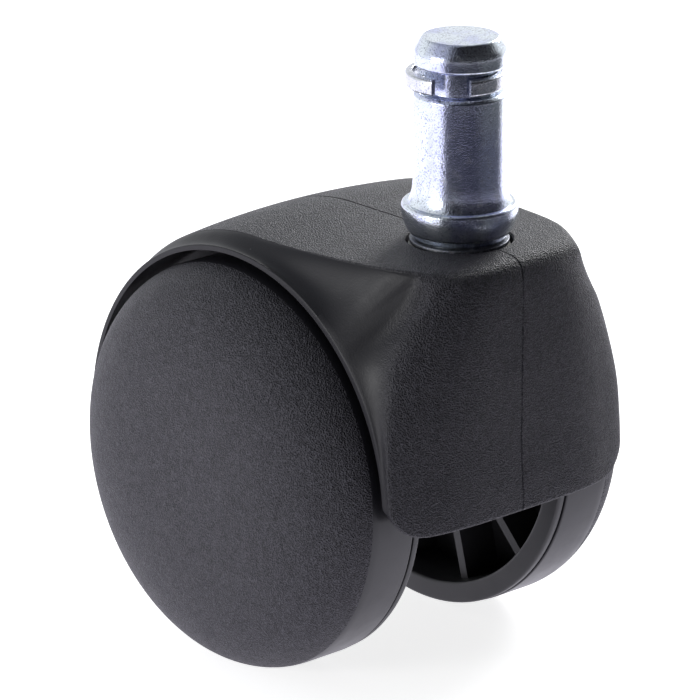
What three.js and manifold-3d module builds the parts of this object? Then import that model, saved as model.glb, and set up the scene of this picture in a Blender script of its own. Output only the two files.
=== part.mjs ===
// Twin-wheel chair caster with an 11 mm grip-ring stem.
// Millimetres, +Z up. The origin is on the stem's axis at the top of its collar, the face that meets
// the chair base. +X points from the wheels to the stem, and the wheels turn about Y.

import * as THREE from 'three';
import { mergeVertices } from 'three/addons/utils/BufferGeometryUtils.js';
import Module from 'manifold-3d';

const wasm = await Module();
wasm.setup();

// ---------------------------------------------------------------- driving dimensions

const GAP = 0.3; // between pieces that rest on or are held by each other
const RUN = 0.1; // radial play of a running fit
const TURN_STEPS = 48; // facets round a wheel
const PIN_STEPS = 32; // facets round the stem, the axle and their rings

// Where the wheels stand, seen from the stem
const TRAIL = 18.7;
const DROP = 33.5;

// Wheels: half-widths are measured along the axle from the middle of the caster
const WHEEL_R = 25;
const WHEEL_INNER_Y = 11.5;
const SEAM_Y = 12.6;
const DOME_START_Y = 18.1;
const DOME_HEIGHT = 8.56;
const DOME_POWER_R = 3.87;
const DOME_POWER_Y = 1.95;
const DOME_STEPS = 9;
const SHELL_WALL = 1.4;
const DOME_WALL = 2.2;
const CORE_WALL = 1.1;
const CORE_DISC_Y = [19, 20.2];
const HUB_R = 6.8;
const HUB_BORE_R = 4.5;
const RIBS = 12;
const RIB_THICKNESS = 1.2;
const RIB_INNER_Y = 13.6;

// Axle and what sits on it
const AXLE_R = 3;
const AXLE_HALF = 21.8;
const CLIP_GROOVE_Y = [20.5, 21.3];
const CLIP_GROOVE_R = 2.4;
const CLIP_R = 5.6;
const CLIP_MOUTH = 3;
const BUSH_Y = [10.3, 19.8];
const BUSH_FLANGE = 0.6;
const SPACER_Y = [8.6, 9.4];
const SPACER_R = 5.6;

// Stem
const STEM_R = 5.5;
const STEM_TOP = 19.93;
const HEAD_FOOT = 16.5;
const GROOVE_FOOT = 13.5;
const GROOVE_R = 4.2;
const COLLAR_R = 6.87;
const COLLAR_FOOT = -4.2;
const JOURNAL_R = 4.6;
const JOURNAL_END = -24.6;
const RETAINER_Z = [-20.6, -19.8];
const RETAINER_GROOVE_R = 3.8;
const RETAINER_R = 5.8;
const RETAINER_MOUTH = 3.2;

// Grip ring, a split strip that sits off centre in its groove
const RING_R = 5.85;
const RING_WALL = 0.9;
const RING_Z = [14.0, 15.9];
const RING_OFFSET = 0.62;
const RING_OFFSET_ANGLE = THREE.MathUtils.degToRad(228);
const RING_GAP_ANGLE = THREE.MathUtils.degToRad(312);
const RING_GAP_WIDTH = 4.6;

// Stem socket in the hood
const SOCKET_R = 6.3;
const SOCKET_FOOT = -27.2;
const SOCKET_BOSS_R = 8.2;
const SOCKET_BOSS_FOOT = -29.6;
const BUSH_SLEEVE_R = 6;
const PAD_RIM = 1.2;
const PAD_CROWN_R = 3;
const WASHER_R = 5.9;
const WASHER_Z = [-4.9, -4.4];

// Hood: an arch about the axle with a flat top and front that reach forward round the stem
const HOOD_R = 29;
const FRONT_REACH = 29.6;
const CORNER_POWER = 28;
const ARCH_HALF = 19;
const ARCH_R = 26.3;
const ARCH_LIP = 0.6;
const FRONT_LIP = 0.15; // the lip thins to this at the foot of the front
const FRONT_EDGE_Z = -35.7;
const FRONT_CORNER_R = 4.8;
const FRONT_FLARE = 0.45;
const REAR_ANGLE = 172;
const FRONT_CROWN_POWER = 4; // flat across the middle of the front
const TOP_CROWN_POWER = 2;
const HOLLOW_PEAK = 6.75; // makes t * t * (1 - t) reach 1, two thirds of the way down the side
const WEB_HALF = 1.6;
const AXLE_BOSS_R = 6;
const AXLE_BOSS_HALF = 8.3;
const CAVITY_HALF = 8.5;
const CAVITY_FRONT = 8.2;
const CAVITY_TOP = -7.2;

// The hood's section by angle about the axle, in degrees from straight ahead:
// [angle, half-width of the top between its creases, drop of the crease, rounding of the crease,
//  hollow of the side below it]
const SECTIONS = [
  [-6, 18.6, 2.9, 4.4, 0.0],
  [3, 18.7, 2.9, 4.6, 0.0],
  [11, 18.8, 3.1, 4.8, 0.0],
  [20, 18.4, 3.4, 5.0, 0.1],
  [29, 17.2, 4.0, 5.0, 0.1],
  [37, 15.1, 4.1, 4.6, 0.1],
  [41, 12.8, 3.4, 4.0, 0.0],
  [43, 11.5, 2.3, 2.9, 0.0],
  [44.5, 10.9, 1.3, 2.1, 0.0],
  [46, 10.9, 0.8, 1.6, 0.0],
  [48, 11.6, 0.6, 1.1, 0.1],
  [50, 12.5, 0.55, 0.8, 0.2],
  [53, 13.5, 0.55, 0.5, 0.4],
  [58, 14.4, 0.65, 0.35, 0.7],
  [68, 15.2, 0.8, 0.3, 0.8],
  [82, 15.7, 0.9, 0.3, 0.5],
  [100, 15.8, 0.9, 0.3, 0.3],
  [180, 15.8, 0.9, 0.3, 0.2],
];

// Rows of the hood's surface as [share of the way round, rows up to it], closest at the top corner
const HOOD_ROWS = [
  [0.24, 10],
  [0.33, 9],
  [1, 24],
];

// ---------------------------------------------------------------- materials

function material(color, roughness, metalness) {
  return new THREE.MeshStandardMaterial({ color, roughness, metalness });
}

const nylon = () => material(0x1d1c20, 0.62, 0);
const smoothNylon = () => material(0x1a191d, 0.45, 0);
const zinc = () => material(0xc9cdd8, 0.28, 1);
const springSteel = () => material(0xa9adb8, 0.35, 1);
const bearingPlastic = () => material(0xd8d4c8, 0.5, 0);

// ---------------------------------------------------------------- solid helpers

// Merges shared corners and drops the empty triangles at a pole
function welded(geometry) {
  const bare = geometry.clone();
  bare.deleteAttribute('normal');
  bare.deleteAttribute('uv');
  const merged = mergeVertices(bare, 1e-4);
  const index = merged.getIndex().array;
  const kept = [];
  for (let i = 0; i < index.length; i += 3) {
    const [a, b, c] = [index[i], index[i + 1], index[i + 2]];
    if (a !== b && b !== c && c !== a) kept.push(a, b, c);
  }
  merged.setIndex(kept);
  return merged;
}

// Turns every face outward
function outward(geometry) {
  const p = geometry.getAttribute('position');
  const index = Array.from(geometry.getIndex().array);
  const [a, b, c] = [new THREE.Vector3(), new THREE.Vector3(), new THREE.Vector3()];
  let volume = 0;
  for (let i = 0; i < index.length; i += 3) {
    a.fromBufferAttribute(p, index[i]);
    b.fromBufferAttribute(p, index[i + 1]);
    c.fromBufferAttribute(p, index[i + 2]);
    volume += a.dot(b.cross(c));
  }
  if (volume < 0) {
    for (let i = 0; i < index.length; i += 3) {
      [index[i], index[i + 1]] = [index[i + 1], index[i]];
    }
    geometry.setIndex(index);
  }
  return geometry;
}

function solid(geometry) {
  const g = outward(welded(geometry));
  const mesh = new wasm.Mesh({
    numProp: 3,
    vertProperties: new Float32Array(g.getAttribute('position').array),
    triVerts: new Uint32Array(g.getIndex().array),
  });
  return new wasm.Manifold(mesh);
}

function geometryOf(body) {
  const mesh = body.getMesh();
  const g = new THREE.BufferGeometry();
  g.setAttribute('position', new THREE.BufferAttribute(new Float32Array(mesh.vertProperties), 3));
  g.setIndex(Array.from(mesh.triVerts));
  return g;
}

// A body turned about Y. The profile is a list of [radius, y]
function turnedY(profile, steps) {
  const points = profile.map(([r, y]) => new THREE.Vector2(r, y));
  return new THREE.LatheGeometry(points, steps);
}

// A body turned about Z. The profile is a list of [radius, z]
function turnedZ(profile, steps) {
  return turnedY(profile, steps).rotateX(Math.PI / 2);
}

function rod(r, from, to) {
  return [[0, from], [r, from], [r, to], [0, to]];
}

function tube(inner, outer, from, to) {
  return [[inner, from], [outer, from], [outer, to], [inner, to], [inner, from]];
}

function block(low, high) {
  const g = new THREE.BoxGeometry(high[0] - low[0], high[1] - low[1], high[2] - low[2]);
  return g.translate((low[0] + high[0]) / 2, (low[1] + high[1]) / 2, (low[2] + high[2]) / 2);
}

// A smooth curve through rows of [x, value, ...], read in the given column
function through(rows, x, column) {
  const last = rows.length - 2;
  let i = 0;
  while (i < last && x > rows[i + 1][0]) i += 1;
  const slope = (k) => {
    const [lo, hi] = [Math.max(k - 1, 0), Math.min(k + 1, rows.length - 1)];
    return (rows[hi][column] - rows[lo][column]) / (rows[hi][0] - rows[lo][0]);
  };
  const width = rows[i + 1][0] - rows[i][0];
  const t = THREE.MathUtils.clamp((x - rows[i][0]) / width, 0, 1);
  const [v0, v1] = [rows[i][column], rows[i + 1][column]];
  const [m0, m1] = [slope(i) * width, slope(i + 1) * width];
  const rise = t * t * (3 - 2 * t);
  const leave = t * (1 - t) * (1 - t);
  const arrive = t * t * (t - 1);
  return v0 + (v1 - v0) * rise + m0 * leave + m1 * arrive;
}

// ---------------------------------------------------------------- stem

function stemProfile() {
  const points = [
    [0, JOURNAL_END],
    [JOURNAL_R - 0.8, JOURNAL_END],
    [JOURNAL_R, JOURNAL_END + 0.8],
    [JOURNAL_R, RETAINER_Z[0] - RUN],
    [RETAINER_GROOVE_R, RETAINER_Z[0] - RUN],
    [RETAINER_GROOVE_R, RETAINER_Z[1] + RUN],
    [JOURNAL_R, RETAINER_Z[1] + RUN],
    [JOURNAL_R, COLLAR_FOOT],
    [STEM_R, COLLAR_FOOT],
  ];
  // bowl under the collar's rim
  const bowl = new THREE.QuadraticBezierCurve(
    new THREE.Vector2(STEM_R, COLLAR_FOOT),
    new THREE.Vector2(COLLAR_R - 0.35, -3),
    new THREE.Vector2(COLLAR_R, -1),
  );
  points.push(...bowl.getPoints(4).slice(1).map((p) => [p.x, p.y]));
  points.push([COLLAR_R, -0.4], [COLLAR_R - 0.25, 0], [STEM_R + 0.65, 0]);
  // flare from the collar up to the shank
  const flare = new THREE.QuadraticBezierCurve(
    new THREE.Vector2(STEM_R + 0.65, 0),
    new THREE.Vector2(STEM_R + 0.02, 0.9),
    new THREE.Vector2(STEM_R, 3),
  );
  points.push(...flare.getPoints(4).slice(1).map((p) => [p.x, p.y]));
  points.push([STEM_R, GROOVE_FOOT - 0.3], [STEM_R - 0.3, GROOVE_FOOT], [GROOVE_R, GROOVE_FOOT]);
  points.push([GROOVE_R, HEAD_FOOT], [STEM_R - 0.2, HEAD_FOOT], [STEM_R, HEAD_FOOT + 0.2]);
  points.push([STEM_R, 18.3], [STEM_R - 0.25, 18.9], [4.5, STEM_TOP], [0, STEM_TOP]);
  return points;
}

function stem() {
  return turnedZ(stemProfile(), PIN_STEPS);
}

function gripRing() {
  const [foot, top] = RING_Z;
  const half = RING_GAP_WIDTH / 2;
  const ring = solid(turnedZ(tube(RING_R - RING_WALL, RING_R, foot, top), PIN_STEPS));
  const cut = block([0, -half, foot - 1], [RING_R + 2, half, top + 1]);
  cut.rotateZ(RING_GAP_ANGLE);
  const g = geometryOf(ring.subtract(solid(cut)));
  return g.translate(
    RING_OFFSET * Math.cos(RING_OFFSET_ANGLE),
    RING_OFFSET * Math.sin(RING_OFFSET_ANGLE),
    0,
  );
}

function stemWasher() {
  return turnedZ(tube(JOURNAL_R + RUN, WASHER_R, WASHER_Z[0], WASHER_Z[1]), PIN_STEPS);
}

function stemBush() {
  const [foot, top] = [RETAINER_Z[1] + GAP, WASHER_Z[0] - GAP];
  return turnedZ(tube(JOURNAL_R + RUN, BUSH_SLEEVE_R, foot, top), PIN_STEPS);
}

function stemRetainer() {
  const [foot, top] = RETAINER_Z;
  const half = RETAINER_MOUTH / 2;
  const ring = solid(turnedZ(tube(RETAINER_GROOVE_R + RUN, RETAINER_R, foot, top), PIN_STEPS));
  const cut = block([-SOCKET_R, -half, foot - 1], [0, half, top + 1]);
  return geometryOf(ring.subtract(solid(cut)));
}

function thrustPad() {
  const [foot, top] = [SOCKET_FOOT + GAP, JOURNAL_END - RUN];
  const profile = [
    [0, foot],
    [BUSH_SLEEVE_R, foot],
    [BUSH_SLEEVE_R, foot + PAD_RIM],
    [PAD_CROWN_R, top],
    [0, top],
  ];
  return turnedZ(profile, PIN_STEPS);
}

// ---------------------------------------------------------------- hood

// Distance of the hood's mid-line from the axle, at an angle from straight ahead
function crownRadius(degrees) {
  if (degrees >= 90) return HOOD_R;
  const a = THREE.MathUtils.degToRad(degrees);
  const flare = FRONT_FLARE * (1 - THREE.MathUtils.smoothstep(degrees, -4, 14));
  const front = Math.cos(a) / (FRONT_REACH + flare);
  const top = Math.max(Math.sin(a), 0) / HOOD_R;
  return (front ** CORNER_POWER + top ** CORNER_POWER) ** (-1 / CORNER_POWER);
}

// Half of the hood's section as [y, radius], from the mid-line out to the arch's lip
function halfSection(degrees) {
  const crown = crownRadius(degrees);
  const halfTop = through(SECTIONS, degrees, 1);
  const drop = through(SECTIONS, degrees, 2);
  const rounding = through(SECTIONS, degrees, 3);
  const hollow = through(SECTIONS, degrees, 4);
  const toTop = THREE.MathUtils.smoothstep(degrees, 38, 50);
  const power = THREE.MathUtils.lerp(FRONT_CROWN_POWER, TOP_CROWN_POWER, toTop);
  const points = [];
  const topSteps = 5;
  for (let k = 0; k < topSteps; k += 1) {
    const y = ((halfTop - rounding) * k) / (topSteps - 1);
    points.push([y, crown - drop * (y / halfTop) ** power]);
  }
  // the crease, rounded between the top's own slope and the side
  const share = 1 - rounding / halfTop;
  const cornerDrop = drop * share ** (power - 1) * (share + power * (1 - share));
  const corner = new THREE.Vector2(halfTop, crown - cornerDrop);
  const lipWall = THREE.MathUtils.lerp(FRONT_LIP, ARCH_LIP, THREE.MathUtils.smoothstep(degrees, 0, 32));
  const lip = new THREE.Vector2(ARCH_HALF, ARCH_R + lipWall);
  const side = lip.clone().sub(corner);
  const span = side.length();
  const start = new THREE.Vector2(...points[points.length - 1]);
  const end = corner.clone().addScaledVector(side, Math.min(rounding / span, 0.4));
  const crease = new THREE.QuadraticBezierCurve(start, corner, end);
  points.push(crease.getPoint(0.5).toArray());
  // the side, hollowed towards the wheel
  const normal = new THREE.Vector2(side.y, -side.x).normalize();
  const sideSteps = 4;
  for (let k = 0; k <= sideSteps; k += 1) {
    const t = k / sideSteps;
    const p = end.clone().lerp(lip, t);
    p.addScaledVector(normal, hollow * HOLLOW_PEAK * t * t * (1 - t));
    points.push(p.toArray());
  }
  return points;
}

// The lowest angle of the hood's front at a section point, which rounds the lower corners
function frontAngle(y, radius) {
  const past = Math.max(Math.abs(y) - (ARCH_HALF - FRONT_CORNER_R), 0);
  const rise = FRONT_CORNER_R - Math.sqrt(Math.max(FRONT_CORNER_R ** 2 - past ** 2, 0));
  const z = FRONT_EDGE_Z + DROP + rise;
  return THREE.MathUtils.radToDeg(Math.asin(z / radius));
}

// How far round the hood each row of its surface stands, from 0 at the front edge to 1 at the rear
function rowShares() {
  const shares = [0];
  for (const [end, count] of HOOD_ROWS) {
    const start = shares[shares.length - 1];
    for (let i = 1; i <= count; i += 1) shares.push(start + ((end - start) * i) / count);
  }
  return shares;
}

// The hood's outside, filled in as far as the axle boss
function hoodBlank() {
  const shares = rowShares();
  const lastRow = shares.length - 1;
  const front = halfSection(0);
  const half = front.length;
  const across = 2 * half - 1;
  const innerR = AXLE_BOSS_R - 1;
  const at = (degrees, y, r) => {
    const a = THREE.MathUtils.degToRad(degrees);
    return [-TRAIL + r * Math.cos(a), y, -DROP + r * Math.sin(a)];
  };
  const positions = [];
  const loop = across + 2;
  for (const rowShare of shares) {
    for (let j = 0; j < across; j += 1) {
      const k = Math.abs(j - (half - 1));
      const sign = j < half - 1 ? -1 : 1;
      const degrees = THREE.MathUtils.lerp(frontAngle(...front[k]), REAR_ANGLE, rowShare);
      const [y, r] = halfSection(degrees)[k];
      positions.push(...at(degrees, sign * y, r));
    }
    const degrees = THREE.MathUtils.lerp(frontAngle(...front[half - 1]), REAR_ANGLE, rowShare);
    positions.push(...at(degrees, ARCH_HALF, innerR), ...at(degrees, -ARCH_HALF, innerR));
  }
  const index = [];
  for (let i = 0; i < lastRow; i += 1) {
    for (let j = 0; j < loop; j += 1) {
      const a = i * loop + j;
      const b = i * loop + ((j + 1) % loop);
      index.push(a, b, b + loop, a, b + loop, a + loop);
    }
  }
  // each end is closed by a fan from a point between its outer and its inner middle
  for (const [base, flip] of [[0, true], [lastRow * loop, false]]) {
    const centre = positions.length / 3;
    const corner = (k) => new THREE.Vector3().fromArray(positions, (base + k) * 3);
    const inner = corner(across).lerp(corner(across + 1), 0.5);
    positions.push(...inner.lerp(corner(half - 1), 0.5).toArray());
    for (let j = 0; j < loop; j += 1) {
      const a = base + j;
      const b = base + ((j + 1) % loop);
      index.push(...(flip ? [centre, b, a] : [centre, a, b]));
    }
  }
  const g = new THREE.BufferGeometry();
  g.setAttribute('position', new THREE.BufferAttribute(new Float32Array(positions), 3));
  g.setIndex(index);
  return solid(g);
}

function onAxle(geometry) {
  return geometry.translate(-TRAIL, 0, -DROP);
}

function hood() {
  let body = hoodBlank();
  for (const side of [-1, 1]) {
    const arch = rod(ARCH_R, side * WEB_HALF, side * (ARCH_HALF + 3));
    body = body.subtract(solid(onAxle(turnedY(arch, TURN_STEPS * 2))));
    const [y0, y1] = [side * WEB_HALF, side * CAVITY_HALF].sort((a, b) => a - b);
    const cavity = block([-TRAIL, y0, FRONT_EDGE_Z - 5], [CAVITY_FRONT, y1, CAVITY_TOP]);
    body = body.subtract(solid(cavity));
  }
  const axleBoss = onAxle(turnedY(rod(AXLE_BOSS_R, -AXLE_BOSS_HALF, AXLE_BOSS_HALF), PIN_STEPS));
  const stemBoss = turnedZ(rod(SOCKET_BOSS_R, SOCKET_BOSS_FOOT, CAVITY_TOP + 1), PIN_STEPS);
  body = body.add(solid(axleBoss)).add(solid(stemBoss));
  const bore = onAxle(turnedY(rod(AXLE_R + GAP, -ARCH_HALF, ARCH_HALF), PIN_STEPS));
  const socket = turnedZ(rod(SOCKET_R, SOCKET_FOOT, 0), PIN_STEPS);
  return geometryOf(body.subtract(solid(bore)).subtract(solid(socket)));
}

// ---------------------------------------------------------------- axle

function axle() {
  const half = [
    [AXLE_R, CLIP_GROOVE_Y[0]],
    [CLIP_GROOVE_R, CLIP_GROOVE_Y[0]],
    [CLIP_GROOVE_R, CLIP_GROOVE_Y[1]],
    [AXLE_R, CLIP_GROOVE_Y[1]],
    [AXLE_R - 0.4, AXLE_HALF],
    [0, AXLE_HALF],
  ];
  const other = half.map(([r, y]) => [r, -y]).reverse();
  return onAxle(turnedY([...other, ...half], PIN_STEPS));
}

function axleClip(side) {
  const [y0, y1] = CLIP_GROOVE_Y.map((y) => side * y).sort((a, b) => a - b);
  const ring = solid(turnedY(tube(CLIP_GROOVE_R + RUN, CLIP_R, y0 + RUN, y1 - RUN), PIN_STEPS));
  const half = CLIP_MOUTH / 2;
  const mouth = block([-half, y0 - 1, -CLIP_R - 1], [half, y1 + 1, 0]);
  return onAxle(geometryOf(ring.subtract(solid(mouth))));
}

function spacer(side) {
  const [y0, y1] = SPACER_Y.map((y) => side * y);
  return onAxle(turnedY(tube(AXLE_R + RUN, SPACER_R, y0, y1), PIN_STEPS));
}

// ---------------------------------------------------------------- wheels

// Points of the dome as [radius, y] from the tread out to the middle
function dome(radius, height, steps) {
  const points = [];
  for (let k = 0; k <= steps; k += 1) {
    const a = (Math.PI / 2) * (k / steps);
    const r = radius * Math.cos(a) ** (2 / DOME_POWER_R);
    const y = DOME_START_Y + height * Math.sin(a) ** (2 / DOME_POWER_Y);
    points.push([k === steps ? 0 : r, y]);
  }
  return points;
}

function wheelShell(side) {
  const edge = [WHEEL_R - SHELL_WALL, SEAM_Y + GAP / 2];
  const profile = [
    edge,
    [WHEEL_R, edge[1]],
    ...dome(WHEEL_R, DOME_HEIGHT, DOME_STEPS),
    ...dome(edge[0], DOME_HEIGHT - DOME_WALL, DOME_STEPS - 2).reverse(),
    edge,
  ];
  return onAxle(turnedY(profile.map(([r, y]) => [r, side * y]), TURN_STEPS));
}

function wheelCore(side) {
  const rimR = WHEEL_R - SHELL_WALL - GAP;
  const wallR = rimR - CORE_WALL;
  const profile = [
    [HUB_BORE_R, BUSH_Y[0] + GAP],
    [HUB_R, BUSH_Y[0] + GAP],
    [HUB_R, CORE_DISC_Y[0]],
    [wallR, CORE_DISC_Y[0]],
    [wallR, WHEEL_INNER_Y + 0.4],
    [wallR + 0.3, WHEEL_INNER_Y],
    [WHEEL_R - 0.5, WHEEL_INNER_Y],
    [WHEEL_R - 0.1, WHEEL_INNER_Y + 0.4],
    [WHEEL_R - 0.1, SEAM_Y - GAP / 2],
    [rimR, SEAM_Y - GAP / 2],
    [rimR, CORE_DISC_Y[0] - 1.5],
    [wallR, CORE_DISC_Y[1]],
    [HUB_BORE_R, CORE_DISC_Y[1]],
    [HUB_BORE_R, BUSH_Y[0] + GAP],
  ];
  let body = solid(turnedY(profile.map(([r, y]) => [r, side * y]), TURN_STEPS));
  const [y0, y1] = [side * RIB_INNER_Y, side * (CORE_DISC_Y[0] + 0.5)].sort((a, b) => a - b);
  const half = RIB_THICKNESS / 2;
  for (let k = 0; k < RIBS; k += 1) {
    const rib = block([HUB_R - 0.5, y0, -half], [rimR - CORE_WALL / 2, y1, half]);
    rib.rotateY((2 * Math.PI * (k + 0.5)) / RIBS);
    body = body.add(solid(rib));
  }
  return onAxle(geometryOf(body));
}

function hubBush(side) {
  const profile = [
    [AXLE_R + RUN, BUSH_Y[0] - BUSH_FLANGE],
    [HUB_R - 1, BUSH_Y[0] - BUSH_FLANGE],
    [HUB_R - 1, BUSH_Y[0]],
    [HUB_BORE_R - GAP, BUSH_Y[0]],
    [HUB_BORE_R - GAP, BUSH_Y[1]],
    [AXLE_R + RUN, BUSH_Y[1]],
    [AXLE_R + RUN, BUSH_Y[0] - BUSH_FLANGE],
  ];
  return onAxle(turnedY(profile.map(([r, y]) => [r, side * y]), PIN_STEPS));
}

// ---------------------------------------------------------------- assembly

function piece(name, geometry, look) {
  const clean = outward(welded(geometry));
  clean.computeVertexNormals();
  const mesh = new THREE.Mesh(clean, look);
  mesh.name = name;
  return mesh;
}

const stemGroup = new THREE.Group();
stemGroup.add(
  piece('stem', stem(), zinc()),
  piece('stem_retainer', stemRetainer(), springSteel()),
  piece('grip_ring', gripRing(), springSteel()),
);

const hoodGroup = new THREE.Group();
hoodGroup.add(
  piece('hood', hood(), nylon()),
  piece('stem_washer', stemWasher(), zinc()),
  piece('stem_bush', stemBush(), bearingPlastic()),
  piece('thrust_pad', thrustPad(), bearingPlastic()),
  piece('axle', axle(), springSteel()),
);

const caster = new THREE.Group();
caster.add(stemGroup, hoodGroup);

for (const [name, side] of [['left', 1], ['right', -1]]) {
  const wheel = new THREE.Group();
  wheel.add(
    piece(`${name}_wheel_shell`, wheelShell(side), nylon()),
    piece(`${name}_wheel_core`, wheelCore(side), smoothNylon()),
    piece(`${name}_hub_bush`, hubBush(side), bearingPlastic()),
  );
  hoodGroup.add(
    piece(`${name}_axle_clip`, axleClip(side), springSteel()),
    piece(`${name}_spacer`, spacer(side), bearingPlastic()),
  );
  caster.add(wheel);
}

export default caster;
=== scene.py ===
"""Looks of the twin-wheel chair caster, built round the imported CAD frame.

Lengths are in millimetres in this script's own dimensions and turned to metres where a mesh is made.
"""

import math

import bmesh
import bpy
import numpy as np
from mathutils import Matrix, Vector


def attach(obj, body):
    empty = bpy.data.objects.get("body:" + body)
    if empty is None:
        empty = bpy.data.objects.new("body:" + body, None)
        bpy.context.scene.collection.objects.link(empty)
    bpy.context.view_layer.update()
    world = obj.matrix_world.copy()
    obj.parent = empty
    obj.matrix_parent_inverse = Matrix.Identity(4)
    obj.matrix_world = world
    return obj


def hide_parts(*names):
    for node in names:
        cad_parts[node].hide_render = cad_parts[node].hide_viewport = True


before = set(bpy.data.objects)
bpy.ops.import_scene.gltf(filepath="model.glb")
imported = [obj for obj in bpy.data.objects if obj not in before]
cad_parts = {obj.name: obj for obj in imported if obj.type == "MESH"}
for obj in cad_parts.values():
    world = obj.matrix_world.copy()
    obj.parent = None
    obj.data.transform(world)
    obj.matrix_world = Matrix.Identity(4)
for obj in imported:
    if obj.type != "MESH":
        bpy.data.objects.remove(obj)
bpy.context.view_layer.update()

MM = 0.001

# ---------------------------------------------------------------- dimensions shared with the CAD

TRAIL = 18.7
DROP = 33.5
AXLE_AT = (-TRAIL, 0.0, -DROP)
GAP = 0.3
RUN = 0.1

WHEEL_R = 25.0
WHEEL_INNER_Y = 11.5
SEAM_Y = 12.6
DOME_START_Y = 18.1
DOME_HEIGHT = 8.56
DOME_POWER_R = 3.87
DOME_POWER_Y = 1.95
GRAIN_START_Y = 19.1
SHELL_WALL = 1.4
DOME_WALL = 2.2
CORE_WALL = 1.1
CORE_DISC_Y = (19.0, 20.2)
HUB_R = 6.8
HUB_BORE_R = 4.5
RIBS = 12
RIB_THICKNESS = 1.2
RIB_INNER_Y = 13.6

AXLE_R = 3.0
BUSH_Y = (10.3, 19.8)
BUSH_FLANGE = 0.6
SPACER_Y = (8.6, 9.4)
SPACER_R = 5.6

STEM_R = 5.5
STEM_TOP = 19.93
HEAD_FOOT = 16.5
GROOVE_FOOT = 13.5
GROOVE_R = 4.2
COLLAR_R = 6.87
COLLAR_FOOT = -4.2
JOURNAL_R = 4.6
JOURNAL_END = -24.6
RETAINER_Z = (-20.6, -19.8)
RETAINER_GROOVE_R = 3.8
RING_R = 5.85
RING_WALL = 0.9
RING_Z = (14.0, 15.9)
RING_OFFSET = 0.62
RING_OFFSET_ANGLE = math.radians(228)
RING_GAP_ANGLE = math.radians(312)
RING_GAP_WIDTH = 4.6

SOCKET_R = 6.3
SOCKET_FOOT = -27.2
SOCKET_CHAMFER = 0.4
SOCKET_CHAMFER_FOOT = -4.75
SOCKET_MOUTH = -4.3
SOCKET_BOSS_R = 8.2
SOCKET_BOSS_FOOT = -29.6
WASHER_R = 5.9
WASHER_Z = (-4.9, -4.4)

HOOD_R = 29.0
FRONT_REACH = 29.6
CORNER_POWER = 28
SIDE_CORNER_POWER = 9
ARCH_HALF = 19.0
ARCH_R = 26.3
ARCH_LIP = 0.6
FRONT_LIP = 0.15
FRONT_EDGE_Z = -35.7
FRONT_CORNER_R = 4.8
FRONT_FLARE = 0.45
REAR_ANGLE = 172.0
FRONT_CROWN_POWER = 4
TOP_CROWN_POWER = 2
HOLLOW_PEAK = 6.75
WEB_HALF = 1.6
AXLE_BOSS_R = 6.0
AXLE_BOSS_HALF = 8.3
CAVITY_HALF = 8.5
CAVITY_FRONT = 8.2
CAVITY_TOP = -7.2

# The hood's section by angle about the axle, in degrees from straight ahead:
# (angle, half-width of the top between its creases, drop of the crease, rounding of the crease,
#  hollow of the side below it)
SECTIONS = (
    (-6, 18.6, 2.9, 4.4, 0.0),
    (3, 18.7, 2.9, 4.6, 0.0),
    (11, 18.8, 3.1, 4.8, 0.0),
    (20, 18.4, 3.4, 5.0, 0.1),
    (29, 17.2, 4.0, 5.0, 0.1),
    (37, 15.1, 4.1, 4.6, 0.1),
    (41, 12.8, 3.4, 4.0, 0.0),
    (43, 11.5, 2.3, 2.9, 0.0),
    (44.5, 10.9, 1.3, 2.1, 0.0),
    (46, 10.9, 0.8, 1.6, 0.0),
    (48, 11.6, 0.6, 1.1, 0.1),
    (50, 12.5, 0.55, 0.8, 0.2),
    (53, 13.5, 0.55, 0.5, 0.4),
    (58, 14.4, 0.65, 0.35, 0.7),
    (68, 15.2, 0.8, 0.3, 0.8),
    (82, 15.7, 0.9, 0.3, 0.5),
    (100, 15.8, 0.9, 0.3, 0.3),
    (180, 15.8, 0.9, 0.3, 0.2),
)

# ---------------------------------------------------------------- mesh helpers


def fillet(corners, closed=False):
    """A profile from corners (u, v) or (u, v, radius), with each radius turned into a short arc."""
    out = []
    count = len(corners)
    for i, corner in enumerate(corners):
        p = np.array(corner[:2], float)
        radius = corner[2] if len(corner) > 2 else 0.0
        inside = closed or 0 < i < count - 1
        if radius == 0 or not inside:
            out.append(tuple(p))
            continue
        before = np.array(corners[i - 1][:2], float) - p
        after = np.array(corners[(i + 1) % count][:2], float) - p
        cut = min(radius, 0.48 * np.linalg.norm(before), 0.48 * np.linalg.norm(after))
        start = p + before / np.linalg.norm(before) * cut
        end = p + after / np.linalg.norm(after) * cut
        for t in np.linspace(0, 1, 6):
            out.append(tuple((1 - t) ** 2 * start + 2 * t * (1 - t) * p + t * t * end))
    return out


def bezier(start, middle, end, steps):
    """Points of a quadratic curve, without its first point."""
    a, b, c = (np.array(p, float) for p in (start, middle, end))
    stops = np.linspace(0, 1, steps + 1)[1:]
    return [tuple((1 - t) ** 2 * a + 2 * t * (1 - t) * b + t * t * c) for t in stops]


def new_object(name, points, faces, smooth_angle=32):
    """A mesh object from points in millimetres, with its normals out and its sharp edges marked."""
    mesh = bpy.data.meshes.new(name)
    mesh.from_pydata([tuple(c * MM for c in p) for p in points], [], faces)
    tidy(mesh, smooth_angle)
    obj = bpy.data.objects.new(name, mesh)
    bpy.context.scene.collection.objects.link(obj)
    return obj


def tidy(mesh, smooth_angle=32):
    bm = bmesh.new()
    bm.from_mesh(mesh)
    bmesh.ops.remove_doubles(bm, verts=bm.verts, dist=1e-7)
    bmesh.ops.dissolve_degenerate(bm, edges=bm.edges, dist=1e-8)
    bmesh.ops.recalc_face_normals(bm, faces=bm.faces)
    bm.to_mesh(mesh)
    bm.free()
    mesh.shade_smooth()
    mesh.set_sharp_from_angle(angle=math.radians(smooth_angle))
    mesh.update()


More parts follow.
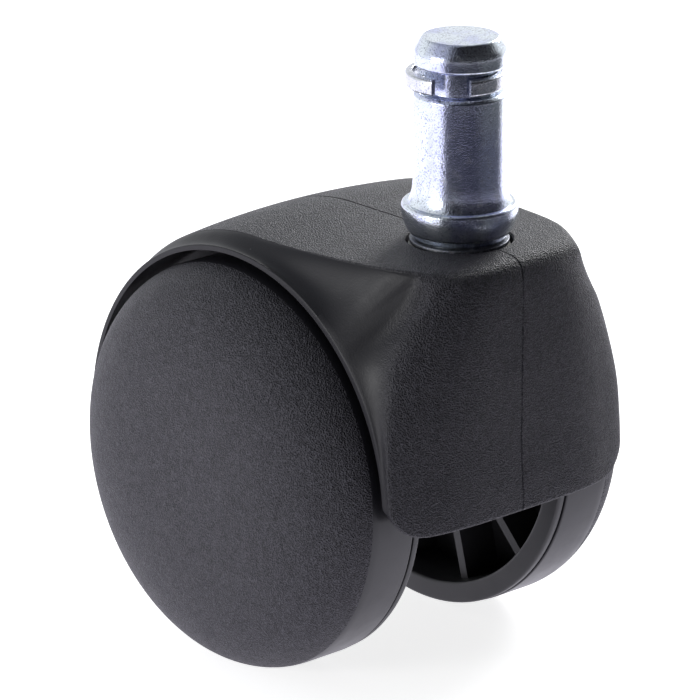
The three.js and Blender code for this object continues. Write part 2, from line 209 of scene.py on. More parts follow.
def turned(name, profile, steps, axis="Z", at=(0.0, 0.0, 0.0)):
    """A body turned about the axis from a profile of (radius, height).

    The profile closes on itself, unless both its ends are on the axis.
    """
    angles = np.linspace(0, 2 * math.pi, steps, endpoint=False)
    points, rows = [], []
    for r, h in profile:
        if r < 1e-9:
            rows.append([len(points)] * steps)
            ring = [(0.0, 0.0, h)]
        else:
            rows.append([len(points) + k for k in range(steps)])
            ring = [(r * math.cos(a), r * math.sin(a), h) for a in angles]
        points.extend(ring)
    faces = []
    on_axis = profile[0][0] < 1e-9 and profile[-1][0] < 1e-9
    last = len(rows) - 1 if on_axis else len(rows)
    for i in range(last):
        low, high = rows[i], rows[(i + 1) % len(rows)]
        for k in range(steps):
            n = (k + 1) % steps
            face = [low[k], low[n], high[n], high[k]]
            face = [v for j, v in enumerate(face) if v != face[j - 1]]
            if len(face) > 2:
                faces.append(face)
    if axis == "Y":
        points = [(x, z, -y) for x, y, z in points]
    points = [tuple(c + o for c, o in zip(p, at)) for p in points]
    return new_object(name, points, faces)


def block(name, low, high):
    corners = [(x, y, z) for x in (low[0], high[0]) for y in (low[1], high[1]) for z in (low[2], high[2])]
    faces = [(0, 1, 3, 2), (4, 6, 7, 5), (0, 4, 5, 1), (2, 3, 7, 6), (0, 2, 6, 4), (1, 5, 7, 3)]
    return new_object(name, corners, faces)


def combine(body, tool, operation):
    """Joins the tool to the body or cuts it away, and removes the tool."""
    modifier = body.modifiers.new("combine", "BOOLEAN")
    modifier.operation = operation
    modifier.solver = "MANIFOLD"
    modifier.object = tool
    graph = bpy.context.evaluated_depsgraph_get()
    result = bpy.data.meshes.new_from_object(body.evaluated_get(graph))
    body.modifiers.clear()
    body.data = result
    bpy.data.objects.remove(tool)
    return body


def follow(rows, x, column):
    """A smooth curve through the rows, read in one column at x."""
    knots = [row[0] for row in rows]
    values = [row[column] for row in rows]
    i = int(np.clip(np.searchsorted(knots, x) - 1, 0, len(rows) - 2))

    def slope(k):
        lo, hi = max(k - 1, 0), min(k + 1, len(rows) - 1)
        return (values[hi] - values[lo]) / (knots[hi] - knots[lo])

    width = knots[i + 1] - knots[i]
    t = min(max((x - knots[i]) / width, 0.0), 1.0)
    m0, m1 = slope(i) * width, slope(i + 1) * width
    blend0 = 2 * t**3 - 3 * t**2 + 1
    return blend0 * values[i] + (t**3 - 2 * t**2 + t) * m0 + (1 - blend0) * values[i + 1] + (t**3 - t**2) * m1


def smoothstep(x, low, high):
    t = min(max((x - low) / (high - low), 0.0), 1.0)
    return t * t * (3 - 2 * t)


# ---------------------------------------------------------------- materials


class Nodes:
    """Short names for building a node material."""

    def __init__(self, name):
        self.material = bpy.data.materials.new(name)
        self.material.use_nodes = True
        self.tree = self.material.node_tree
        self.shader = self.tree.nodes["Principled BSDF"]
        coordinates = self.tree.nodes.new("ShaderNodeTexCoord")
        self.place = coordinates.outputs["Object"]

    def node(self, kind, **inputs):
        node = self.tree.nodes.new(kind)
        for key, value in inputs.items():
            self.feed(node.inputs[key.replace("_", " ")], value)
        return node

    def feed(self, socket, value):
        if isinstance(value, bpy.types.NodeSocket):
            self.tree.links.new(value, socket)
        else:
            socket.default_value = value

    def noise(self, scale, detail=2.0, roughness=0.5, place=None):
        node = self.node("ShaderNodeTexNoise", Vector=place or self.place, Scale=scale)
        node.inputs["Detail"].default_value = detail
        node.inputs["Roughness"].default_value = roughness
        return node.outputs["Fac"]

    def cells(self, scale, feature="F1"):
        node = self.node("ShaderNodeTexVoronoi", Vector=self.place, Scale=scale)
        node.feature = feature
        return node.outputs["Distance"]

    def stretched(self, x, y, z):
        node = self.node("ShaderNodeMapping", Vector=self.place)
        node.inputs["Scale"].default_value = (x, y, z)
        return node.outputs["Vector"]

    def ramp(self, value, *stops):
        """A colour ramp through (position, grey or colour) stops."""
        node = self.node("ShaderNodeValToRGB", Fac=value)
        elements = node.color_ramp.elements
        while len(elements) < len(stops):
            elements.new(0.5)
        for element, (position, colour) in zip(elements, stops):
            element.position = position
            element.color = (colour, colour, colour, 1) if isinstance(colour, float) else (*colour, 1)
        return node.outputs["Color"]

    def mix(self, factor, a, b):
        node = self.tree.nodes.new("ShaderNodeMix")
        node.data_type = "RGBA"
        self.feed(node.inputs[0], factor)
        for socket, value in ((node.inputs[6], a), (node.inputs[7], b)):
            self.feed(socket, (*value, 1) if isinstance(value, tuple) else value)
        return node.outputs[2]

    def math(self, operation, a, b=0.0):
        node = self.tree.nodes.new("ShaderNodeMath")
        node.operation = operation
        self.feed(node.inputs[0], a)
        self.feed(node.inputs[1], b)
        return node.outputs[0]

    def bump(self, height, depth, strength=1.0):
        node = self.node("ShaderNodeBump", Height=height, Strength=strength)
        node.inputs["Distance"].default_value = depth
        return node.outputs["Normal"]

    def finish(self, **inputs):
        for key, value in inputs.items():
            if isinstance(value, tuple):
                value = (*value, 1)
            self.feed(self.shader.inputs[key.replace("_", " ")], value)
        return self.material


def dust(n):
    """Sparse pale specks."""
    specks = n.cells(600.0)
    chosen = n.noise(230.0, 1.0)
    spot = n.ramp(specks, (0.0, 1.0), (0.07, 0.0))
    return n.math("MULTIPLY", spot, n.ramp(chosen, (0.58, 0.0), (0.64, 1.0)))


def grain_height(n):
    """The fine leather-like texture of the mould, in peaks about a sixth of a millimetre apart."""
    peaks = n.cells(6000.0, "SMOOTH_F1")
    coarse = n.noise(4800.0, 2.0, 0.6)
    swell = n.noise(1300.0, 2.0, 0.5)
    height = n.math("ADD", n.math("MULTIPLY", peaks, 0.75), n.math("MULTIPLY", coarse, 0.6))
    return n.math("ADD", height, n.math("MULTIPLY", swell, 0.35))


GRAIN_DEPTH = 0.00030


def nylon(name, masked, base, pale, rough):
    """Moulded black nylon. Its grain covers all of it, or where the mesh's own grain value says. The grain's
    peaks are painted paler, a painted highlight that stands for glints of light on the grain.
    """
    n = Nodes(name)
    broad = n.noise(60.0, 3.0, 0.6)
    height = grain_height(n)
    colour = n.mix(n.ramp(broad, (0.3, 0.0), (0.7, 1.0)), base, tuple(1.25 * c for c in base))
    # Paler colour on the grain's peaks: a painted highlight standing for glints of light, not a colour of the
    # nylon.
    peak_highlight = n.ramp(height, (0.55, 0.0), (1.15, 0.75))
    fleck = n.noise(420.0, 3.0, 0.6)
    satin = n.ramp(fleck, (0.25, rough[0] - 0.08), (0.75, rough[0]))
    matt = n.ramp(fleck, (0.25, rough[1] - 0.06), (0.75, rough[1] + 0.04))
    if masked:
        grain = n.node("ShaderNodeAttribute")
        grain.attribute_name = "grain"
        cover = grain.outputs["Fac"]
        peak_highlight = n.math("MULTIPLY", peak_highlight, cover)
        roughness = n.mix(cover, satin, matt)
        relief = n.math("MULTIPLY", height, n.math("ADD", n.math("MULTIPLY", cover, 0.96), 0.04))
    else:
        roughness, relief = matt, height
    colour = n.mix(peak_highlight, colour, pale)
    colour = n.mix(n.math("MULTIPLY", dust(n), 0.4), colour, (0.34, 0.33, 0.34))
    normal = n.bump(relief, GRAIN_DEPTH, 1.0)
    return n.finish(Base_Color=colour, Roughness=roughness, Normal=normal, Specular_IOR_Level=0.42)


def smooth_nylon(name, base, rough):
    """The plain moulded finish of the treads and the wheel centres."""
    n = Nodes(name)
    ripple = n.noise(420.0, 3.0, 0.6)
    fine = n.noise(3800.0, 2.0, 0.5)
    broad = n.noise(55.0, 3.0, 0.6)
    darker = tuple(c * 0.8 for c in base)
    colour = n.mix(n.ramp(broad, (0.3, 0.0), (0.7, 1.0)), darker, base)
    colour = n.mix(n.math("MULTIPLY", dust(n), 0.3), colour, (0.3, 0.3, 0.3))
    roughness = n.ramp(ripple, (0.25, rough[0]), (0.75, rough[1]))
    height = n.math("ADD", n.math("MULTIPLY", ripple, 0.6), n.math("MULTIPLY", fine, 0.12))
    normal = n.bump(height, 0.00003, 0.5)
    return n.finish(Base_Color=colour, Roughness=roughness, Normal=normal, Specular_IOR_Level=0.5)


def zinc(name, base, tint, rough):
    """Plated steel, with pitted specks and faint patches of a second tint."""
    n = Nodes(name)
    speckle = n.noise(2600.0, 3.0, 0.65)
    marks = n.noise(900.0, 2.0, 0.6)
    patches = n.noise(260.0, 2.0, 0.5, n.stretched(1.0, 1.0, 0.22))
    pits = n.noise(5200.0, 2.0, 0.5)
    colour = n.mix(n.ramp(patches, (0.42, 0.0), (0.62, 1.0)), base, tint)
    colour = n.mix(n.ramp(marks, (0.55, 0.0), (0.75, 0.5)), colour, (0.92, 0.94, 0.97))
    colour = n.mix(n.ramp(pits, (0.56, 0.0), (0.64, 0.75)), colour, (0.28, 0.30, 0.38))
    roughness = n.ramp(marks, (0.3, rough[0]), (0.7, rough[1]))
    height = n.math("ADD", n.math("MULTIPLY", speckle, 0.5), n.math("MULTIPLY", pits, 0.5))
    normal = n.bump(height, 0.00006, 0.6)
    return n.finish(Base_Color=colour, Metallic=1.0, Roughness=roughness, Normal=normal)


def bearing_plastic():
    n = Nodes("bearing_plastic")
    broad = n.noise(160.0, 3.0, 0.6)
    fine = n.noise(2600.0, 2.0, 0.5)
    colour = n.mix(broad, (0.62, 0.60, 0.53), (0.74, 0.72, 0.66))
    roughness = n.ramp(fine, (0.3, 0.32), (0.7, 0.45))
    normal = n.bump(fine, 0.00002, 0.3)
    return n.finish(Base_Color=colour, Roughness=roughness, Normal=normal, Subsurface_Weight=0.05)


BLACK = (0.0065, 0.0060, 0.0090)
# Colour of the painted highlight on the grain's peaks.
GRAIN_PEAK_HIGHLIGHT = (0.085, 0.082, 0.098)
GRAINED = nylon("grained_nylon", False, BLACK, GRAIN_PEAK_HIGHLIGHT, (0.5, 0.54))
HOOD_NYLON = nylon("hood_nylon", True, BLACK, GRAIN_PEAK_HIGHLIGHT, (0.5, 0.54))
SMOOTH = smooth_nylon("smooth_nylon", (0.020, 0.0195, 0.024), (0.28, 0.38))
# The wheel centres' nylon is twice as light as the treads': painted light standing for light reaching into
# the wheel cavity.
CORE = smooth_nylon("core_nylon_lightened", (0.040, 0.040, 0.043), (0.36, 0.48))
ZINC = zinc("zinc_plate", (0.80, 0.86, 0.92), (0.62, 0.66, 0.88), (0.12, 0.26))
# A darker copy of the zinc plate for the washer under the collar: its darkness is painted shade, its higher
# roughness a duller finish.
DULL_ZINC_PAINTED_SHADE = zinc("dull_zinc_painted_shade", (0.16, 0.165, 0.18), (0.11, 0.115, 0.13), (0.4, 0.55))
SPRING = zinc("spring_steel", (0.74, 0.76, 0.80), (0.66, 0.67, 0.74), (0.16, 0.30))
PLASTIC = bearing_plastic()


def dress(obj, body, nodes, materials, choose=None):
    """Gives the piece its materials and its body, and hides the CAD nodes that it stands for."""
    obj.data.materials.clear()
    for material in materials:
        obj.data.materials.append(material)
    for face in obj.data.polygons:
        face.material_index = choose(face.center / MM) if choose else 0
    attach(obj, body)
    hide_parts(*nodes)
    return obj


# ---------------------------------------------------------------- camera

CAMERA_AZIMUTH = math.radians(48.03)
CAMERA_ELEVATION = math.radians(19.0)
CAMERA_DISTANCE = 547.65
CAMERA_RIGHT = -12.81
CAMERA_UP = -17.50
CAMERA_LENS = 241.0

TOWARDS_CAMERA = Vector(
    (
        math.sin(CAMERA_AZIMUTH) * math.cos(CAMERA_ELEVATION),
        -math.cos(CAMERA_AZIMUTH) * math.cos(CAMERA_ELEVATION),
        math.sin(CAMERA_ELEVATION),
    )
)


def make_camera():
    data = bpy.data.cameras.new("camera")
    data.lens = CAMERA_LENS
    data.sensor_width = 36.0
    data.clip_start = 0.01
    data.clip_end = 20.0
    camera = bpy.data.objects.new("camera", data)
    bpy.context.scene.collection.objects.link(camera)
    right = Vector((math.cos(CAMERA_AZIMUTH), math.sin(CAMERA_AZIMUTH), 0.0))
    up = TOWARDS_CAMERA.cross(right)
    centre = right * CAMERA_RIGHT + up * CAMERA_UP + TOWARDS_CAMERA * CAMERA_DISTANCE
    turn = Matrix((right, up, TOWARDS_CAMERA)).transposed().to_4x4()
    camera.matrix_world = Matrix.Translation(centre * MM) @ turn
    bpy.context.scene.camera = camera


# ---------------------------------------------------------------- hood


def crown_radius(degrees, corner_power=CORNER_POWER):
    """Distance of the hood's mid-line from the axle. A lower power rounds the corner over the front more."""
    if degrees >= 90:
        return HOOD_R
    a = math.radians(degrees)
    flare = FRONT_FLARE * (1 - smoothstep(degrees, -4, 14))
    front = math.cos(a) / (FRONT_REACH + flare)
    top = max(math.sin(a), 0.0) / HOOD_R
    return (front**corner_power + top**corner_power) ** (-1 / corner_power)


TOP_STEPS = 22
CREASE_STEPS = 8
SIDE_STEPS = 14
LIP_STEPS = 4
PARTING_DEPTH = 0.15
PARTING_WIDTH = 0.12
LIP_ROUND = 0.12


def crown_power(degrees):
    return FRONT_CROWN_POWER + (TOP_CROWN_POWER - FRONT_CROWN_POWER) * smoothstep(degrees, 38, 50)


def crease_and_lip(degrees):
    """The section's two corners as (y, radius): the crease before it is rounded, and the arch's lip."""
    half_top = follow(SECTIONS, degrees, 1)
    drop = follow(SECTIONS, degrees, 2)
    share = 1 - follow(SECTIONS, degrees, 3) / half_top
    power = crown_power(degrees)
    corner_drop = drop * share ** (power - 1) * (share + power * (1 - share))
    lip_wall = FRONT_LIP + (ARCH_LIP - FRONT_LIP) * smoothstep(degrees, 0, 32)
    return np.array((half_top, crown_radius(degrees) - corner_drop)), np.array((ARCH_HALF, ARCH_R + lip_wall))


def half_section(degrees):
    """Half of the hood's section as (y, radius), from the parting line out to the arch's lip."""
    crown = crown_radius(degrees)
    half_top = follow(SECTIONS, degrees, 1)
    drop = follow(SECTIONS, degrees, 2)
    rounding = follow(SECTIONS, degrees, 3)
    hollow = follow(SECTIONS, degrees, 4)
    corner, lip = crease_and_lip(degrees)
    side = lip - corner
    span = np.linalg.norm(side)
    ys = np.concatenate(([0.0, PARTING_WIDTH], np.linspace(0.5, half_top - rounding, TOP_STEPS)))
    points = [(y, crown - drop * (y / half_top) ** crown_power(degrees)) for y in ys]
    points[0] = (0.0, crown - PARTING_DEPTH)
    end = corner + side * min(rounding / span, 0.4)
    points += bezier(points[-1], corner, end, CREASE_STEPS)
    normal = np.array((side[1], -side[0])) / span
    last = lip - side / span * LIP_ROUND
    softening = np.array((0.0, crown - crown_radius(degrees, SIDE_CORNER_POWER)))
    for t in np.linspace(0, 1, SIDE_STEPS + 1)[1:]:
        p = end + (last - end) * t + normal * hollow * HOLLOW_PEAK * t * t * (1 - t)
        points.append(tuple(p - softening * (1 - t) * (1 - (1 - t) ** 3)))
    points += bezier(last, lip, (ARCH_HALF, lip[1] - LIP_ROUND), LIP_STEPS)
    return np.array(points)


def front_angle(y, radius):
    """The lowest angle of the hood's front at a section point, which rounds the lower corners."""
    past = max(y - (ARCH_HALF - FRONT_CORNER_R), 0.0)
    rise = FRONT_CORNER_R - math.sqrt(max(FRONT_CORNER_R**2 - past**2, 0.0))
    return math.degrees(math.asin((FRONT_EDGE_Z + DROP + rise) / radius))


EDGE_ROUND = 0.45
HOOD_ROWS = ((0.24, 60), (0.33, 60), (1.0, 110))


def hood_blank():
    """The hood's outside, filled in as far as the axle boss."""
    front = half_section(0.0)
    lows = [front_angle(y, r) for y, r in front]
    half = len(front)
    edge_rows = [EDGE_ROUND * (1 - math.cos(a)) for a in np.linspace(0, math.pi / 2, 6)]
    inner_r = AXLE_BOSS_R - 1
    columns = list(range(half - 1, 0, -1)) + list(range(half))
    signs = [-1] * (half - 1) + [1] * half
    loop = len(columns) + 2
    positions = []

    def inset(distance):
        d = max(EDGE_ROUND - distance, 0.0)
        return EDGE_ROUND - math.sqrt(EDGE_ROUND**2 - d * d)

    def at(degrees, y, r):
        a = math.radians(degrees)
        return (-TRAIL + r * math.cos(a), y, -DROP + r * math.sin(a))

    shares = [0.0]
    for end, count in HOOD_ROWS:
        shares += list(np.linspace(shares[-1], end, count + 1)[1:])
    row_count = len(edge_rows) * 2 + len(shares) - 2
    for i in range(row_count):
        for k, sign in zip(columns, signs):
            r0 = front[k][1]
            low = lows[k]
            per_mm = math.degrees(1 / r0)
            first, last = low + EDGE_ROUND * per_mm, REAR_ANGLE - EDGE_ROUND * per_mm
            if i < len(edge_rows):
                degrees, depth = low + edge_rows[i] * per_mm, inset(edge_rows[i])
            elif i >= row_count - len(edge_rows):
                distance = edge_rows[row_count - 1 - i]
                degrees, depth = REAR_ANGLE - distance * per_mm, inset(distance)
            else:
                share = shares[i - len(edge_rows) + 1]
                degrees, depth = first + (last - first) * share, 0.0
            y, r = section_at(degrees)[k]
            positions.append(at(degrees, sign * y, r - depth))
        low = lows[-1]
        share = i / (row_count - 1)
        degrees = low + (REAR_ANGLE - low) * share
        positions.append(at(degrees, ARCH_HALF, inner_r))
        positions.append(at(degrees, -ARCH_HALF, inner_r))
    faces = []
    for i in range(row_count - 1):
        for j in range(loop):
            a, b = i * loop + j, i * loop + (j + 1) % loop
            faces.append((a, b, b + loop, a + loop))
    for base in (0, (row_count - 1) * loop):
        centre = len(positions)
        inner = (np.array(positions[base + loop - 2]) + np.array(positions[base + loop - 1])) / 2
        middle = np.array(positions[base + half - 1])
        positions.append(tuple((inner + middle) / 2))
        for j in range(loop):
            faces.append((centre, base + j, base + (j + 1) % loop))
    return new_object("hood_moulding", positions, faces)


ARCH_STEPS = 256
SECTION_CACHE = {}


def section_at(degrees):
    key = round(degrees, 4)
    if key not in SECTION_CACHE:
        SECTION_CACHE[key] = half_section(degrees)
    return SECTION_CACHE[key]


def grain_at(x, y, z):
    """How far the grain covers a point of the hood: whole on the top and the front, none on the sides."""
    across, up = x + TRAIL, z + DROP
    degrees = math.degrees(math.atan2(up, across))
    if degrees < -90:
        degrees += 360
    radius = math.hypot(across, up)
    if radius < ARCH_R + 0.05:
        return 0.0
    corner, lip = crease_and_lip(degrees)
    side = lip - corner
    along = np.dot(np.array((abs(y), radius)) - corner, side) / np.dot(side, side)
    soft = 1 - smoothstep(degrees, 43, 50)
    return 1 - smoothstep(along, -0.03 - 0.1 * soft, 0.03 + 0.75 * soft)


def ordered(a, b):
    return (min(a, b), max(a, b))


def make_hood():
    body = hood_blank()
    for side in (-1, 1):
        inner, outer = side * WEB_HALF, side * (ARCH_HALF + 3)
        arch = [(0, inner), (ARCH_R, inner), (ARCH_R, outer), (0, outer)]
        combine(body, turned("pocket", arch, ARCH_STEPS, "Y", AXLE_AT), "DIFFERENCE")
        y0, y1 = ordered(side * WEB_HALF, side * CAVITY_HALF)
        cavity = block("cavity", (-TRAIL, y0, FRONT_EDGE_Z - 5), (CAVITY_FRONT, y1, CAVITY_TOP))
        combine(body, cavity, "DIFFERENCE")
    half = AXLE_BOSS_HALF
    boss = fillet([(0, -half), (AXLE_BOSS_R, -half, 0.5), (AXLE_BOSS_R, half, 0.5), (0, half)])
    combine(body, turned("axle_boss", boss, 96, "Y", AXLE_AT), "UNION")
    foot = SOCKET_BOSS_FOOT
    head = CAVITY_TOP + 1
    boss = fillet([(0, foot), (SOCKET_BOSS_R, foot, 0.6), (SOCKET_BOSS_R, head), (0, head)])
    combine(body, turned("stem_boss", boss, 96), "UNION")
    bore_r = AXLE_R + GAP
    bore = [(0, -ARCH_HALF), (bore_r, -ARCH_HALF), (bore_r, ARCH_HALF), (0, ARCH_HALF)]
    combine(body, turned("axle_bore", bore, 64, "Y", AXLE_AT), "DIFFERENCE")
    mouth_r = SOCKET_R + SOCKET_CHAMFER
    socket = [(0, SOCKET_FOOT), (SOCKET_R, SOCKET_FOOT)]
    socket += [(SOCKET_R, SOCKET_CHAMFER_FOOT), (mouth_r, SOCKET_MOUTH), (0, SOCKET_MOUTH)]
    combine(body, turned("socket", socket, 96), "DIFFERENCE")
    tidy(body.data, 28)

    values = [grain_at(*(v.co / MM)) for v in body.data.vertices]
    attribute = body.data.attributes.new("grain", "FLOAT", "POINT")
    attribute.data.foreach_set("value", values)
    dress(body, "hood", ["hood"], [HOOD_NYLON])


# ---------------------------------------------------------------- wheels


def dome(radius, height, spacing):
    """Points of a wheel's dome as (radius, y), evenly spaced from the tread out to the middle."""
    a = np.linspace(0, math.pi / 2, 4000)
    r = radius * np.cos(a).clip(0) ** (2 / DOME_POWER_R)
    y = DOME_START_Y + height * np.sin(a) ** (2 / DOME_POWER_Y)
    r[-1] = 0.0
    along = np.concatenate(([0], np.cumsum(np.hypot(np.diff(r), np.diff(y)))))
    stops = np.linspace(0, along[-1], int(along[-1] / spacing) + 1)
    return [(float(np.interp(s, along, r)), float(np.interp(s, along, y))) for s in stops]


WHEEL_STEPS = 192


def make_wheel_shell(name, side):
    edge = SEAM_Y + GAP / 2
    inner_r = WHEEL_R - SHELL_WALL
    tread = fillet([(inner_r, edge), (WHEEL_R, edge, 0.22), (WHEEL_R, DOME_START_Y)])
    outside = dome(WHEEL_R, DOME_HEIGHT, 0.55)
    inside = dome(inner_r, DOME_HEIGHT - DOME_WALL, 1.2)
    profile = tread[:-1] + outside + inside[::-1]
    profile = [(r, side * y) for r, y in profile]
    obj = turned(f"{name}_wheel_cover", profile, WHEEL_STEPS, "Y", AXLE_AT)

    def finish_of(centre):
        return 0 if abs(centre.y) > GRAIN_START_Y else 1

    dress(obj, f"{name}_wheel", [f"{name}_wheel_shell"], [GRAINED, SMOOTH], finish_of)


def make_wheel_core(name, side):
    rim_r = WHEEL_R - SHELL_WALL - GAP
    wall_r = rim_r - CORE_WALL
    profile = [
        (HUB_BORE_R, BUSH_Y[0] + GAP, 0.2),
        (HUB_R, BUSH_Y[0] + GAP, 0.4),
        (HUB_R, CORE_DISC_Y[0], 0.6),
        (wall_r, CORE_DISC_Y[0], 0.6),
        (wall_r, WHEEL_INNER_Y, 0.45),
        (WHEEL_R - 0.1, WHEEL_INNER_Y, 0.4),
        (WHEEL_R - 0.1, SEAM_Y - GAP / 2, 0.15),
        (rim_r, SEAM_Y - GAP / 2),
        (rim_r, CORE_DISC_Y[0] - 1.5),
        (wall_r, CORE_DISC_Y[1]),
        (HUB_BORE_R, CORE_DISC_Y[1]),
    ]
    profile = [(c[0], side * c[1], *c[2:]) for c in profile]
    body = turned(f"{name}_wheel_centre", fillet(profile, closed=True), WHEEL_STEPS, "Y", AXLE_AT)
    y0, y1 = ordered(side * RIB_INNER_Y, side * (CORE_DISC_Y[0] + 0.5))
    thick = RIB_THICKNESS / 2
    for k in range(RIBS):
        rib = block("rib", (HUB_R - 0.5, y0, -thick), (rim_r - CORE_WALL / 2, y1, thick))
        turn = Matrix.Rotation(2 * math.pi * (k + 0.5) / RIBS, 4, "Y")
        rib.data.transform(Matrix.Translation(Vector(AXLE_AT) * MM) @ turn)
        combine(body, rib, "UNION")
    tidy(body.data, 30)
    # The wheel centre's lighter nylon is painted light for the shaded cavity.
    dress(body, f"{name}_wheel", [f"{name}_wheel_core"], [CORE])


def make_hub_bush(name, side):
    foot = BUSH_Y[0] - BUSH_FLANGE
    profile = [
        (AXLE_R + RUN, foot, 0.15),
        (HUB_R - 1, foot, 0.2),
        (HUB_R - 1, BUSH_Y[0]),
        (HUB_BORE_R - GAP, BUSH_Y[0]),
        (HUB_BORE_R - GAP, BUSH_Y[1], 0.2),
        (AXLE_R + RUN, BUSH_Y[1], 0.15),
    ]
    profile = fillet([(c[0], side * c[1], *c[2:]) for c in profile], closed=True)
    obj = turned(f"{name}_hub_bearing", profile, 96, "Y", AXLE_AT)
    dress(obj, f"{name}_wheel", [f"{name}_hub_bush"], [PLASTIC])


def make_spacer(name, side):
    a, b = SPACER_Y
    corners = [(AXLE_R + RUN, a), (SPACER_R, a, 0.2), (SPACER_R, b, 0.2), (AXLE_R + RUN, b)]
    profile = fillet([(c[0], side * c[1], *c[2:]) for c in corners], closed=True)
    obj = turned(f"{name}_thrust_washer", profile, 96, "Y", AXLE_AT)
    dress(obj, "hood", [f"{name}_spacer"], [PLASTIC])


# ---------------------------------------------------------------- stem


def make_stem():
    corners = [
        (0, JOURNAL_END),
        (JOURNAL_R - 0.8, JOURNAL_END, 0.3),
        (JOURNAL_R, JOURNAL_END + 0.8, 0.3),
        (JOURNAL_R, RETAINER_Z[0] - RUN, 0.1),
        (RETAINER_GROOVE_R, RETAINER_Z[0] - RUN),
        (RETAINER_GROOVE_R, RETAINER_Z[1] + RUN),
        (JOURNAL_R, RETAINER_Z[1] + RUN, 0.1),
        (JOURNAL_R, COLLAR_FOOT),
    ]
    points = fillet(corners)
    collar = [(JOURNAL_R, COLLAR_FOOT), (STEM_R, COLLAR_FOOT, 0.2), (STEM_R + 0.3, COLLAR_FOOT + 0.5)]
    points += fillet(collar)[1:]
    points += bezier(points[-1], (COLLAR_R - 0.3, -3.0), (COLLAR_R, -1.0), 12)
    points += fillet([points[-1], (COLLAR_R, -0.3, 0.25), (COLLAR_R - 0.25, 0, 0.15), (STEM_R + 0.65, 0)])[1:]
    points += bezier(points[-1], (STEM_R + 0.02, 0.9), (STEM_R, 3.0), 12)
    corners = [
        points[-1],
        (STEM_R, GROOVE_FOOT - 0.45, 0.15),
        (STEM_R - 0.4, GROOVE_FOOT, 0.2),
        (GROOVE_R, GROOVE_FOOT, 0.2),
        (GROOVE_R, HEAD_FOOT, 0.2),
        (STEM_R - 0.25, HEAD_FOOT, 0.15),
        (STEM_R, HEAD_FOOT + 0.3, 0.2),
        (STEM_R, 18.35, 0.5),
        (4.62, 19.75, 0.25),
        (4.45, STEM_TOP, 0.12),
        (0, STEM_TOP),
    ]
    points += fillet(corners)[1:]
    obj = turned("stem_pin", points, 128)
    dress(obj, "stem", ["stem"], [ZINC])


def make_grip_ring():
    """A flat strip with rounded edges, bent to a ring that stops short of closing."""
    inner = RING_R - RING_WALL
    corners = [
        (inner, RING_Z[0], 0.15),
        (RING_R, RING_Z[0], 0.42),
        (RING_R, RING_Z[1], 0.42),
        (inner, RING_Z[1], 0.15),
    ]
    section = fillet(corners, closed=True)
    half_gap = math.asin(RING_GAP_WIDTH / 2 / RING_R)
    start, end = RING_GAP_ANGLE + half_gap, RING_GAP_ANGLE + 2 * math.pi - half_gap
    cx = RING_OFFSET * math.cos(RING_OFFSET_ANGLE)
    cy = RING_OFFSET * math.sin(RING_OFFSET_ANGLE)
    angles = np.linspace(start, end, 120)
    points = [(cx + r * math.cos(a), cy + r * math.sin(a), z) for a in angles for r, z in section]
    count = len(section)
    faces = []
    for i in range(len(angles) - 1):
        for k in range(count):
            a, b = i * count + k, i * count + (k + 1) % count
            faces.append((a, b, b + count, a + count))
    faces.append(tuple(range(count)))
    faces.append(tuple(range((len(angles) - 1) * count, len(angles) * count)))
    obj = new_object("split_ring", points, faces)
    dress(obj, "grip_ring", ["grip_ring"], [SPRING])


def make_stem_washer():
    a, b = WASHER_Z
    corners = [(JOURNAL_R + RUN, a), (WASHER_R, a, 0.12), (WASHER_R, b, 0.12), (JOURNAL_R + RUN, b)]
    obj = turned("collar_washer", fillet(corners, closed=True), 96)
    # The washer's dark zinc is painted shade for the shadow under the collar.
    dress(obj, "hood", ["stem_washer"], [DULL_ZINC_PAINTED_SHADE])


# ---------------------------------------------------------------- stage

FLOOR_Z = -DROP - WHEEL_R
LOOK = math.atan2(TOWARDS_CAMERA.y, TOWARDS_CAMERA.x)
DARK_MIDDLE = 37.0
CARD_RADII = (70.0, 900.0)
FLOOR_HALF = 1500.0


def flat_material(name, colour, roughness, glow=0.0):
    material = bpy.data.materials.new(name)
    material.use_nodes = True
    shader = material.node_tree.nodes["Principled BSDF"]
    shader.inputs["Base Color"].default_value = (*colour, 1)
    shader.inputs["Roughness"].default_value = roughness
    shader.inputs["Emission Color"].default_value = (*colour, 1)
    shader.inputs["Emission Strength"].default_value = glow
    return material


def make_sector(name, start, end, material):
    """A flat ring sector under the floor, at angles from the camera's side. Only reflections see it."""
    angles = [LOOK + math.radians(a) for a in np.linspace(start, end, 24)]
    points = [(r * math.cos(a), r * math.sin(a), FLOOR_Z - 0.5) for a in angles for r in CARD_RADII]
    faces = [(2 * i, 2 * i + 1, 2 * i + 3, 2 * i + 2) for i in range(len(angles) - 1)]
    card = new_object(name, points, faces)
    card.data.materials.append(material)
    card.visible_camera = False


def make_light(name, azimuth, elevation, distance, size, power):
    """An area light that faces the caster, at an azimuth from the camera's side."""
    data = bpy.data.lights.new(name, "AREA")
    data.shape = "RECTANGLE"
    data.size, data.size_y = size
    data.energy = power
    light = bpy.data.objects.new(name, data)
    bpy.context.scene.collection.objects.link(light)
    turn = LOOK + math.radians(azimuth)
    rise = math.radians(elevation)
    way = Vector((math.cos(turn) * math.cos(rise), math.sin(turn) * math.cos(rise), math.sin(rise)))
    light.location = Vector(AXLE_AT) * MM + way * distance
    light.rotation_mode = "QUATERNION"
    light.rotation_quaternion = way.to_track_quat("Z", "Y")
    light.visible_camera = False


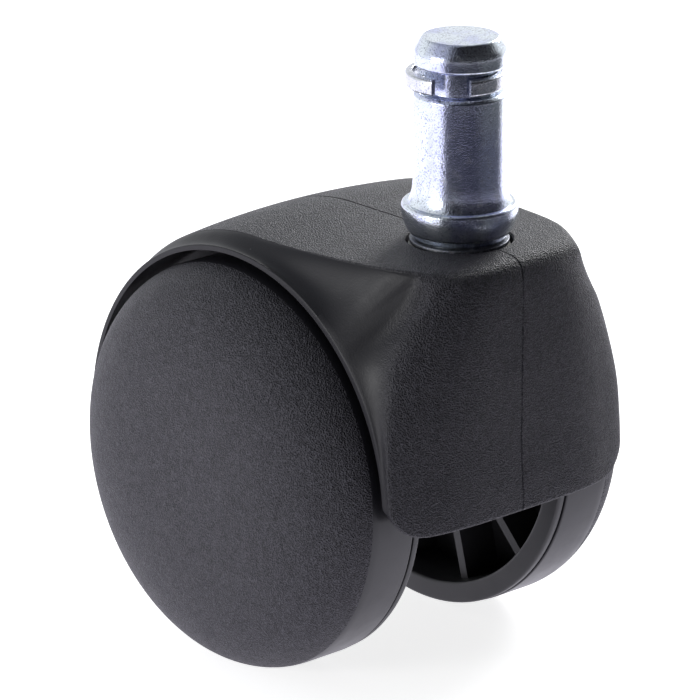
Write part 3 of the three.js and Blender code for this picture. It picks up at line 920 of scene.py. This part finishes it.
def make_world():
    """White behind and to the left, dark on the camera's side, greyer overhead. The camera sees white."""
    world = bpy.data.worlds.new("studio")
    bpy.context.scene.world = world
    world.use_nodes = True
    nodes, links = world.node_tree.nodes, world.node_tree.links
    background = nodes["Background"]
    way = nodes.new("ShaderNodeTexCoord").outputs["Generated"]

    def ramp(value, *stops):
        node = nodes.new("ShaderNodeValToRGB")
        links.new(value, node.inputs["Fac"])
        for element, (position, colour) in zip(node.color_ramp.elements, stops):
            element.position = position
            element.color = (*colour, 1)
        return node.outputs["Color"]

    def mix(factor, a, b, blend="MIX"):
        node = nodes.new("ShaderNodeMix")
        node.data_type = "RGBA"
        node.blend_type = blend
        for socket, value in ((node.inputs[0], factor), (node.inputs[6], a), (node.inputs[7], b)):
            if isinstance(value, bpy.types.NodeSocket):
                links.new(value, socket)
            else:
                socket.default_value = value
        return node.outputs[2]

    parts = nodes.new("ShaderNodeSeparateXYZ")
    links.new(way, parts.inputs[0])
    overhead = ramp(parts.outputs["Z"], (0.3, (1.0, 1.0, 1.0)), (0.75, (0.4, 0.41, 0.43)))
    facing = nodes.new("ShaderNodeVectorMath")
    facing.operation = "DOT_PRODUCT"
    links.new(way, facing.inputs[0])
    turn = LOOK + math.radians(DARK_MIDDLE)
    facing.inputs[1].default_value = (math.cos(turn), math.sin(turn), 0.0)
    front = ramp(facing.outputs["Value"], (0.1, (0.95, 0.97, 1.0)), (0.35, (0.05, 0.05, 0.055)))
    studio = mix(1.0, front, overhead, "MULTIPLY")
    path = nodes.new("ShaderNodeLightPath")
    seen = mix(path.outputs["Is Camera Ray"], studio, (1, 1, 1, 1))
    links.new(seen, background.inputs["Color"])
    background.inputs["Strength"].default_value = 1.0


def make_floor(name, z, material):
    half = FLOOR_HALF
    corners = [(-half, -half, z), (half, -half, z), (half, half, z), (-half, half, z)]
    floor = new_object(name, corners, [(0, 1, 2, 3)])
    floor.data.materials.append(material)
    return floor


def make_stage():
    """The floor that the camera sees is white. The one that lights the caster has dark stretches."""
    seen = make_floor("floor", FLOOR_Z, flat_material("floor_white", (0.8, 0.8, 0.8), 0.9, 1.0))
    seen.visible_diffuse = False
    seen.visible_glossy = False
    seen.visible_shadow = False
    glowing = flat_material("bounce_white", (0.86, 0.84, 0.92), 0.9, 0.86)
    bounce = make_floor("floor_bounce", FLOOR_Z - 1, glowing)
    bounce.visible_camera = False
    black = flat_material("black_card", (0.05, 0.05, 0.07), 0.9)
    grey = flat_material("grey_card", (0.12, 0.125, 0.14), 0.9)
    make_sector("dark_card", -43, 48, black)
    make_sector("mid_card", 48, 117, grey)
    make_light("key", -58, 12, 0.7, (0.14, 0.14), 1.3)
    make_light("rear", 150, 26, 0.8, (0.4, 0.2), 4.2)
    make_world()
    bpy.context.scene.view_settings.view_transform = "Standard"


# ---------------------------------------------------------------- everything together

make_camera()
make_stage()
make_hood()
make_stem()
make_grip_ring()
make_stem_washer()
for wheel, hand in (("left", 1), ("right", -1)):
    make_wheel_shell(wheel, hand)
    make_wheel_core(wheel, hand)
    make_hub_bush(wheel, hand)
    make_spacer(wheel, hand)

for node, material in (
    ("stem_retainer", SPRING),
    ("stem_bush", PLASTIC),
    ("thrust_pad", PLASTIC),
    ("axle", SPRING),
    ("left_axle_clip", SPRING),
    ("right_axle_clip", SPRING),
):
    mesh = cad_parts[node].data
    mesh.materials.clear()
    mesh.materials.append(material)
